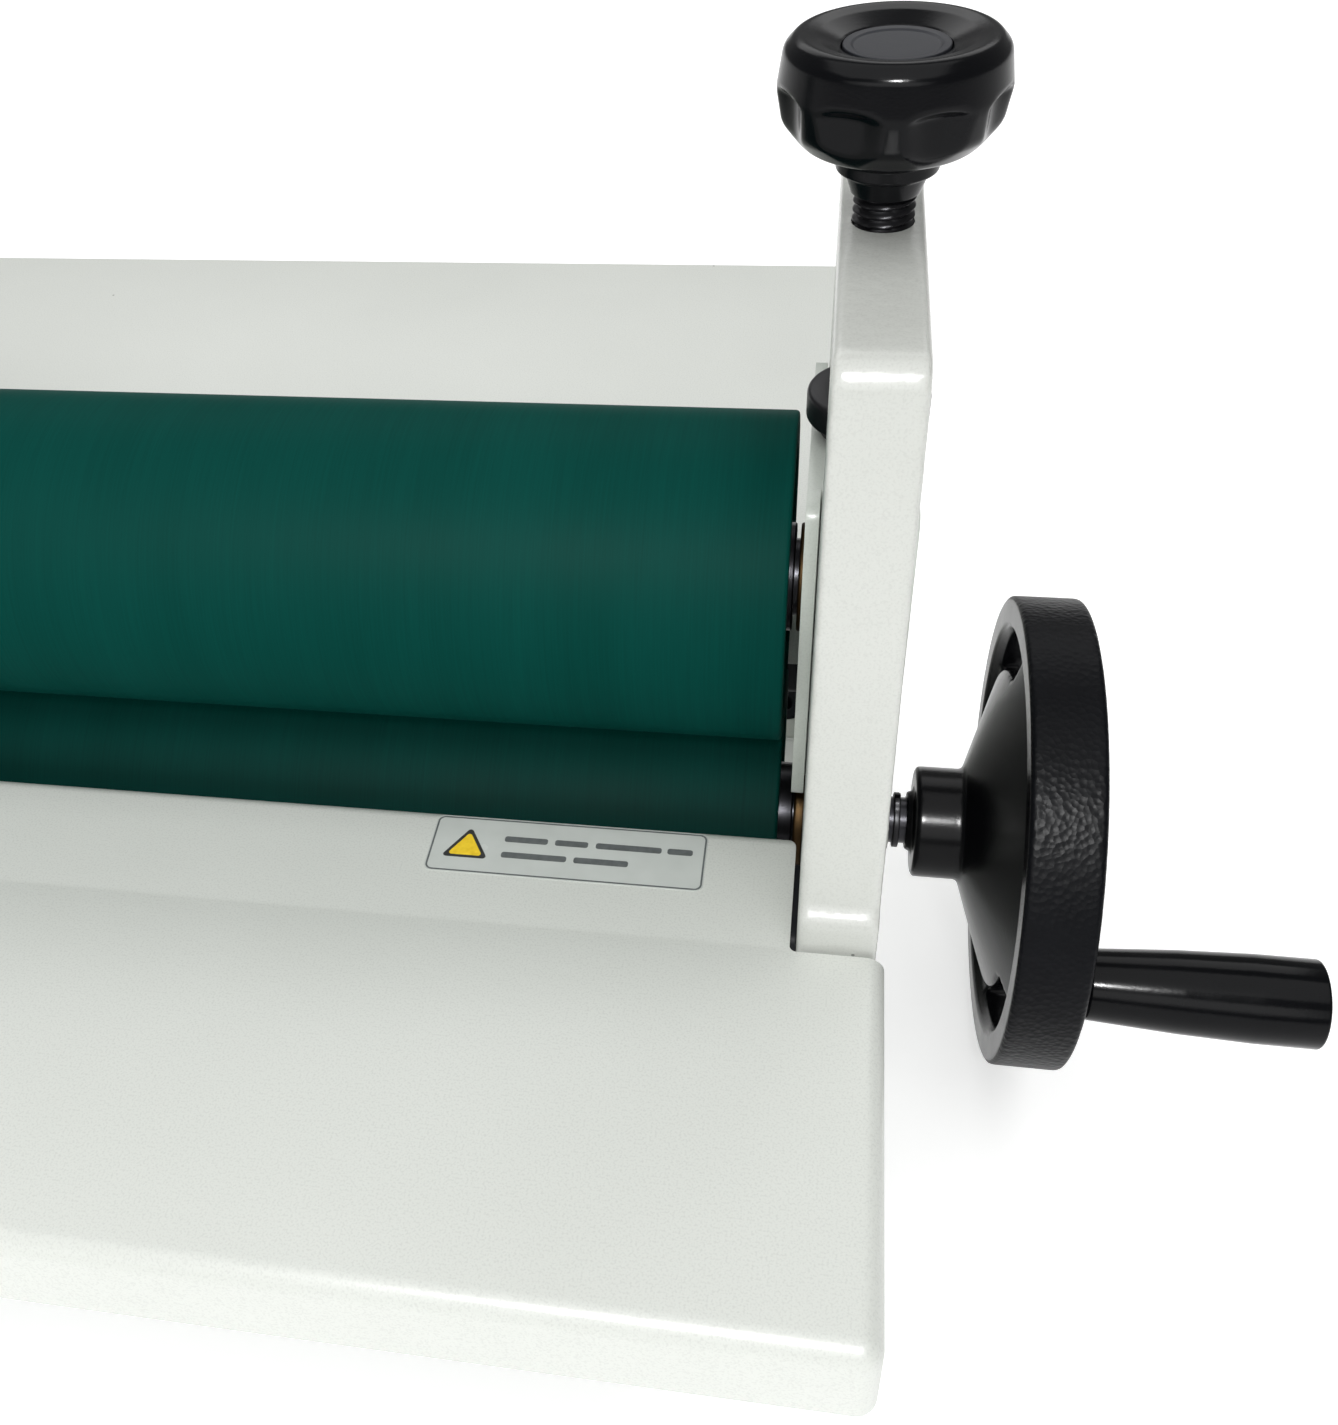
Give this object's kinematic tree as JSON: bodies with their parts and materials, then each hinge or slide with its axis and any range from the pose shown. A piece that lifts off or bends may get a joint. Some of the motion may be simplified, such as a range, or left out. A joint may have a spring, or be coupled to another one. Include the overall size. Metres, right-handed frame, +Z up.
{
  "type": "cold roll laminator",
  "caption": "Hand-cranked cold roll laminator: green rubber rollers in cast side frames, folded sheet feed tables, and screw knobs that lift the top roller.",
  "frame": {"origin": "on the bench, half way along the rollers and straight below their axes, which is the centre of the four bench-bolt holes", "axes": "+X along the rollers towards the handwheel, -Y towards the user who feeds the work in, +Z up"},
  "size_m": [0.7842, 0.351, 0.2255],
  "materials": {
    "casting_paint": "light grey-green enamel on cast iron, slight orange peel",
    "table_paint": "light grey-green powder coat with a fine speckle",
    "block_paint": "light grey-green enamel",
    "rail_paint": "satin black paint",
    "fastener_steel": "zinc-plated steel",
    "foot_rubber": "matt black rubber",
    "bronze": "oiled sintered bronze",
    "label_film": "clear printed film with a yellow triangle and plain bars",
    "roller_steel": "turned steel",
    "green_rubber": "ground dark green silicone rubber, satin",
    "black_steel": "black-oxide steel",
    "knob_plastic": "black moulded phenolic, semi-gloss",
    "cap_plastic": "dark grey moulded plastic",
    "wheel_plastic": "black moulded plastic with a grained rim",
    "grip_plastic": "black moulded plastic, glossy"
  },
  "bodies": {
    "frame": {"side_frame_left": "casting_paint", "side_frame_right": "casting_paint", "front_table": "table_paint", "rear_table": "table_paint", "front_rail": "rail_paint", "rear_rail": "rail_paint", "rail_screws": "fastener_steel", "table_studs": "fastener_steel", "table_nuts": "fastener_steel", "foot_front_left": "foot_rubber", "foot_front_right": "foot_rubber", "foot_rear_left": "foot_rubber", "foot_rear_right": "foot_rubber", "lower_bush_left": "bronze", "lower_bush_right": "bronze", "caution_label": "label_film"},
    "drive_roller": {"lower_roller_core": "roller_steel", "lower_roller_sleeve": "green_rubber", "lower_plug_left": "roller_steel", "drive_shaft": "roller_steel", "shaft_rings": "black_steel", "handwheel": "wheel_plastic", "wheel_grub_screw": "fastener_steel", "wheel_washer": "fastener_steel", "wheel_screw": "fastener_steel", "handle_spindle": "fastener_steel"},
    "crank_grip": {"handle_grip": "grip_plastic", "grip_end_cap": "grip_plastic"},
    "carriage": {"bearing_block_left": "block_paint", "bearing_block_right": "block_paint", "top_bush_left": "bronze", "top_bush_right": "bronze", "keeper_plate_left": "block_paint", "keeper_plate_right": "block_paint", "keeper_screws": "fastener_steel", "retaining_pins": "fastener_steel"},
    "top_roller": {"top_roller_core": "roller_steel", "top_roller_sleeve": "green_rubber", "top_plug_left": "roller_steel", "top_plug_right": "roller_steel"},
    "left_screw": {"pressure_screw_left": "black_steel", "screw_collar_left": "black_steel", "pressure_knob_left": "knob_plastic", "knob_cap_left": "cap_plastic"},
    "right_screw": {"pressure_screw_right": "black_steel", "screw_collar_right": "black_steel", "pressure_knob_right": "knob_plastic", "knob_cap_right": "cap_plastic"}
  },
  "joints": [
    {"name": "drive_spin", "type": "hinge", "parent": "frame", "child": "drive_roller", "pos_m": [0, 0, 0.0598], "axis": [1, 0, 0], "continuous": true},
    {"name": "grip_spin", "type": "hinge", "parent": "drive_roller", "child": "crank_grip", "pos_m": [0.408, -0.03779, 0.05583], "axis": [1, 0, 0], "continuous": true},
    {"name": "roller_lift", "type": "slide", "parent": "frame", "child": "carriage", "axis": [0, 0, 1], "range_m": [0, 0.018]},
    {"name": "top_roller_spin", "type": "hinge", "parent": "carriage", "child": "top_roller", "pos_m": [0, 0, 0.1241], "axis": [1, 0, 0], "continuous": true},
    {"name": "left_knob_turn", "type": "hinge", "parent": "carriage", "child": "left_screw", "pos_m": [-0.337, 0, 0.19], "axis": [0, 0, 1], "range_deg": [0, 4320]},
    {"name": "right_knob_turn", "type": "hinge", "parent": "carriage", "child": "right_screw", "pos_m": [0.337, 0, 0.19], "axis": [0, 0, 1], "range_deg": [0, 4320]}
  ],
  "couplings": [
    {"joint": "top_roller_spin", "follows": "drive_spin", "ratio": -1},
    {"joint": "left_knob_turn", "follows": "roller_lift", "rad_per_m": 4188.8},
    {"joint": "right_knob_turn", "follows": "roller_lift", "rad_per_m": 4188.8}
  ]
}
